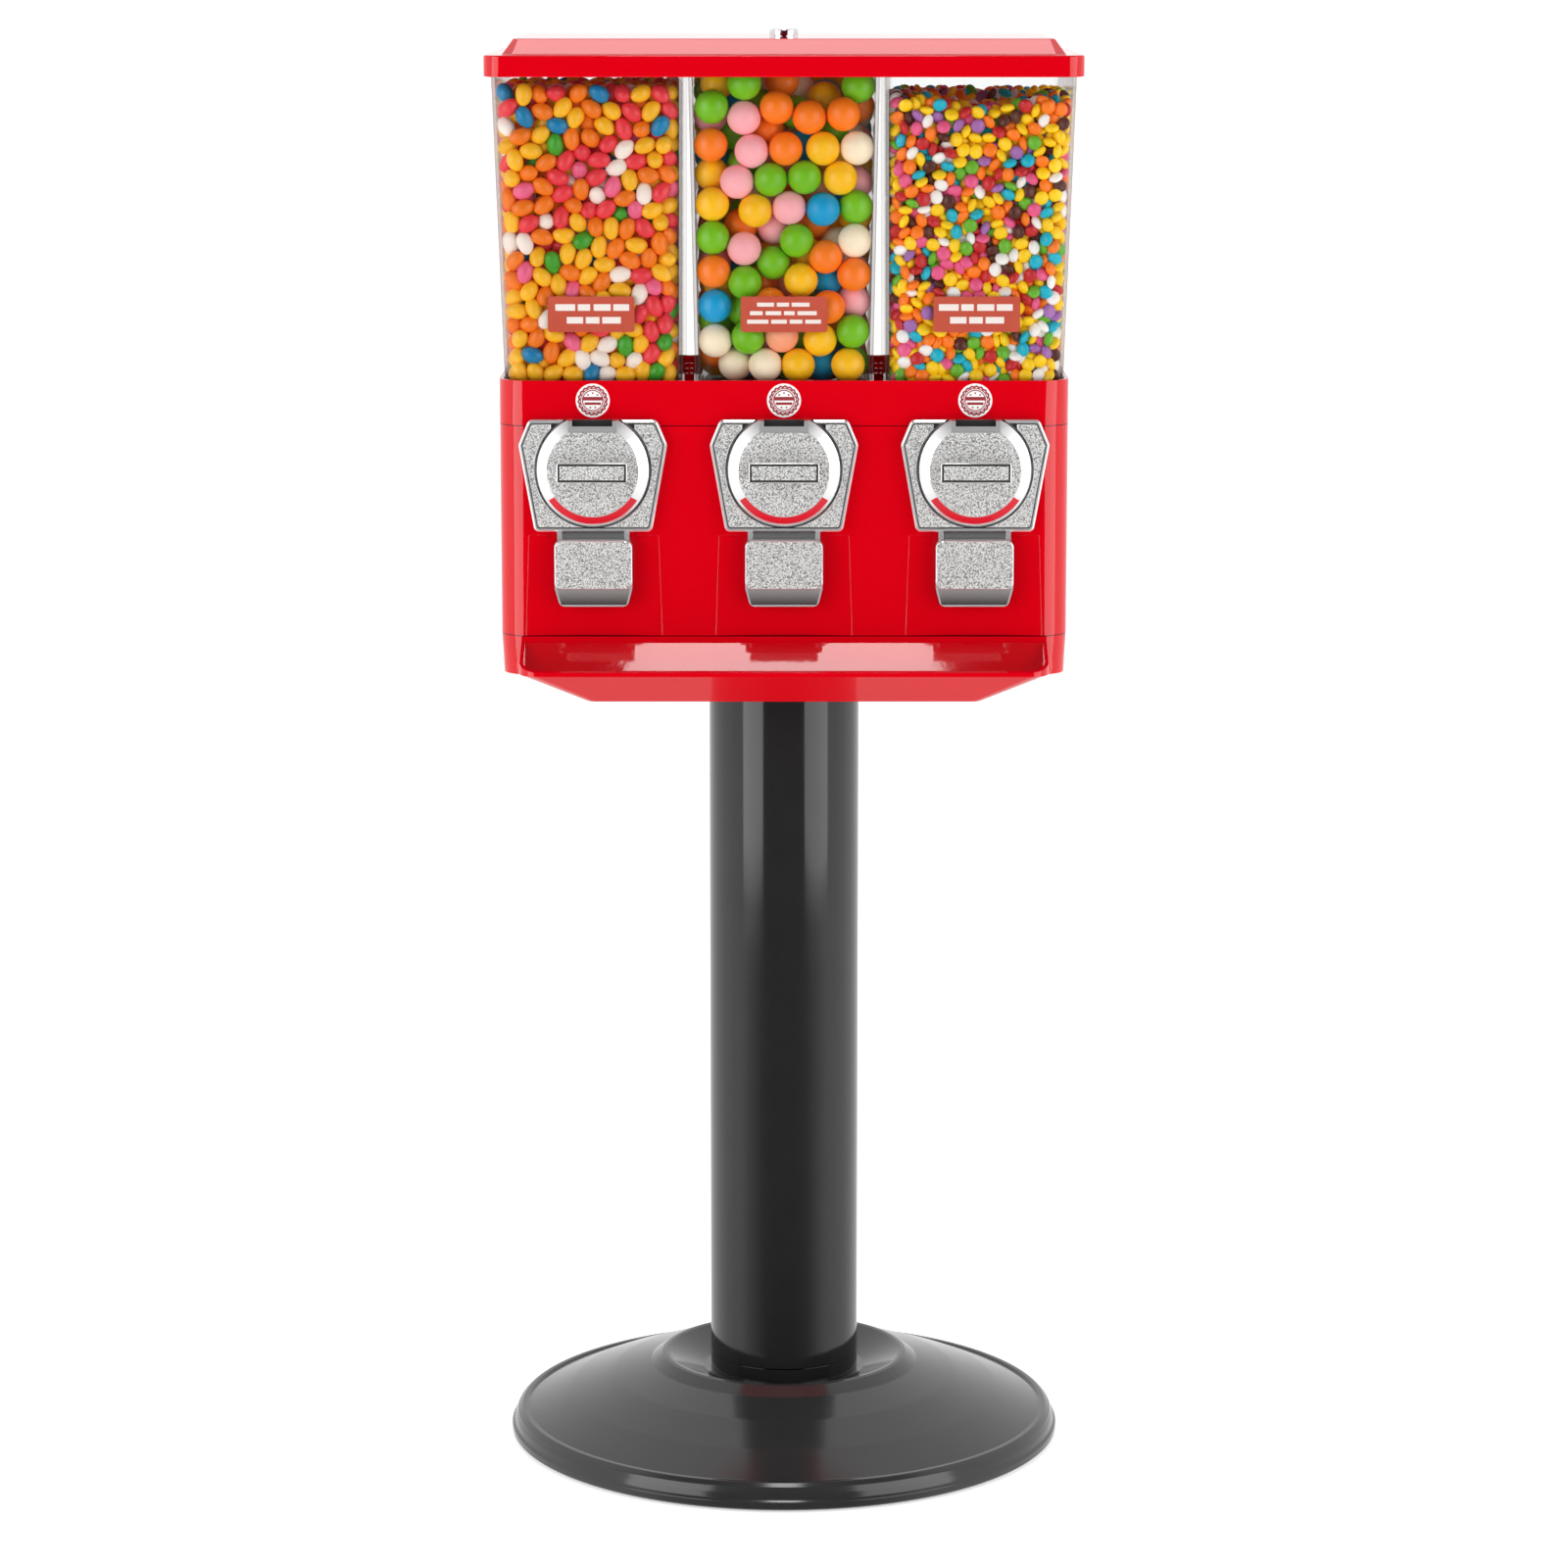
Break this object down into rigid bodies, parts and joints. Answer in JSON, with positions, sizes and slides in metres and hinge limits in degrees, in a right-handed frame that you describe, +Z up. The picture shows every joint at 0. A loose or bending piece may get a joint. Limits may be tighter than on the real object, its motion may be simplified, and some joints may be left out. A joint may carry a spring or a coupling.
{
  "type": "gumball and candy vending machine",
  "caption": "Pedestal candy vending machine: clear canisters under a shared lid, coin dials, dispensing wheels, flap doors and a catch tray, on a weighted round base.",
  "frame": {"origin": "centre of the round base on the floor, under the pole's axis", "axes": "+Z up along the pole, the coin dials face -Y, +X is to the right seen from the front"},
  "size_m": [0.42, 0.41, 1.0433],
  "materials": {
    "red_plastic": "glossy moulded red",
    "black_steel": "black powder coat",
    "black_rubber": "matt",
    "iron_weight": "as cast, painted",
    "cast_zinc": "pebbled die-cast zinc, bright",
    "zinc_plate": "zinc plated sheet",
    "bright_steel": "bright plated steel",
    "grey_plastic": "moulded",
    "nylon": "natural nylon",
    "clear_plastic": "clear moulded polycarbonate",
    "printed_label": "printed vinyl",
    "printed_card": "printed vinyl"
  },
  "bodies": {
    "stand_and_head": {"base_cover": "black_steel", "pole_foot": "black_steel", "foot_ring": "black_rubber", "base_weight": "iron_weight", "base_hub": "black_steel", "pole": "black_steel", "pole_top_plate": "zinc_plate", "head_bolts": "bright_steel", "tie_rod": "bright_steel", "tie_rod_nuts": "bright_steel", "bottom_pan": "red_plastic", "cash_tray": "grey_plastic", "main_housing": "red_plastic", "top_deck": "red_plastic", "wheel_axles": "bright_steel", "lock_rod": "bright_steel", "rod_nut": "bright_steel", "price_labels": "printed_label", "canister_cards": "printed_card", "canister_left": "clear_plastic", "outlet_guard_left": "grey_plastic", "coin_plate_left": "cast_zinc", "mech_box_left": "zinc_plate", "chute_left": "grey_plastic", "door_pin_left": "bright_steel", "canister_centre": "clear_plastic", "outlet_guard_centre": "grey_plastic", "coin_plate_centre": "cast_zinc", "mech_box_centre": "zinc_plate", "chute_centre": "grey_plastic", "door_pin_centre": "bright_steel", "canister_right": "clear_plastic", "outlet_guard_right": "grey_plastic", "coin_plate_right": "cast_zinc", "mech_box_right": "zinc_plate", "chute_right": "grey_plastic", "door_pin_right": "bright_steel"},
    "lid_body": {"lid": "red_plastic"},
    "lock_body": {"lid_lock": "bright_steel"},
    "dial_left_body": {"dial_left": "cast_zinc", "drive_shaft_left": "bright_steel", "coin_wheel_left": "zinc_plate", "pinion_left": "nylon"},
    "wheel_left_body": {"dispensing_wheel_left": "nylon", "agitator_left": "bright_steel"},
    "door_left_body": {"door_left": "cast_zinc"},
    "dial_centre_body": {"dial_centre": "cast_zinc", "drive_shaft_centre": "bright_steel", "coin_wheel_centre": "zinc_plate", "pinion_centre": "nylon"},
    "wheel_centre_body": {"dispensing_wheel_centre": "nylon", "agitator_centre": "bright_steel"},
    "door_centre_body": {"door_centre": "cast_zinc"},
    "dial_right_body": {"dial_right": "cast_zinc", "drive_shaft_right": "bright_steel", "coin_wheel_right": "zinc_plate", "pinion_right": "nylon"},
    "wheel_right_body": {"dispensing_wheel_right": "nylon", "agitator_right": "bright_steel"},
    "door_right_body": {"door_right": "cast_zinc"}
  },
  "joints": [
    {"name": "dial_left_turn", "type": "hinge", "parent": "stand_and_head", "child": "dial_left_body", "pos_m": [-0.135, -0.104, 0.7374], "axis": [0, 1, 0], "continuous": true},
    {"name": "wheel_left_turn", "type": "hinge", "parent": "stand_and_head", "child": "wheel_left_body", "pos_m": [-0.135, 0, 0.767], "axis": [0, 0, 1], "continuous": true},
    {"name": "door_left_swing", "type": "hinge", "parent": "stand_and_head", "child": "door_left_body", "pos_m": [-0.135, -0.11, 0.6904], "axis": [-1, 0, 0], "range_deg": [0, 62]},
    {"name": "dial_centre_turn", "type": "hinge", "parent": "stand_and_head", "child": "dial_centre_body", "pos_m": [0, -0.104, 0.7374], "axis": [0, 1, 0], "continuous": true},
    {"name": "wheel_centre_turn", "type": "hinge", "parent": "stand_and_head", "child": "wheel_centre_body", "pos_m": [0, 0, 0.767], "axis": [0, 0, 1], "continuous": true},
    {"name": "door_centre_swing", "type": "hinge", "parent": "stand_and_head", "child": "door_centre_body", "pos_m": [0, -0.11, 0.6904], "axis": [-1, 0, 0], "range_deg": [0, 62]},
    {"name": "dial_right_turn", "type": "hinge", "parent": "stand_and_head", "child": "dial_right_body", "pos_m": [0.135, -0.104, 0.7374], "axis": [0, 1, 0], "continuous": true},
    {"name": "wheel_right_turn", "type": "hinge", "parent": "stand_and_head", "child": "wheel_right_body", "pos_m": [0.135, 0, 0.767], "axis": [0, 0, 1], "continuous": true},
    {"name": "door_right_swing", "type": "hinge", "parent": "stand_and_head", "child": "door_right_body", "pos_m": [0.135, -0.11, 0.6904], "axis": [-1, 0, 0], "range_deg": [0, 62]},
    {"name": "lid_lift", "type": "slide", "parent": "stand_and_head", "child": "lid_body", "axis": [0, 0, 1], "range_m": [0, 0.12]},
    {"name": "lock_turn", "type": "hinge", "parent": "lid_body", "child": "lock_body", "pos_m": [0, 0, 1.04], "axis": [0, 0, 1], "continuous": true}
  ],
  "couplings": [
    {"joint": "wheel_left_turn", "follows": "dial_left_turn", "ratio": 0.25},
    {"joint": "wheel_centre_turn", "follows": "dial_centre_turn", "ratio": 0.25},
    {"joint": "wheel_right_turn", "follows": "dial_right_turn", "ratio": 0.25}
  ]
}
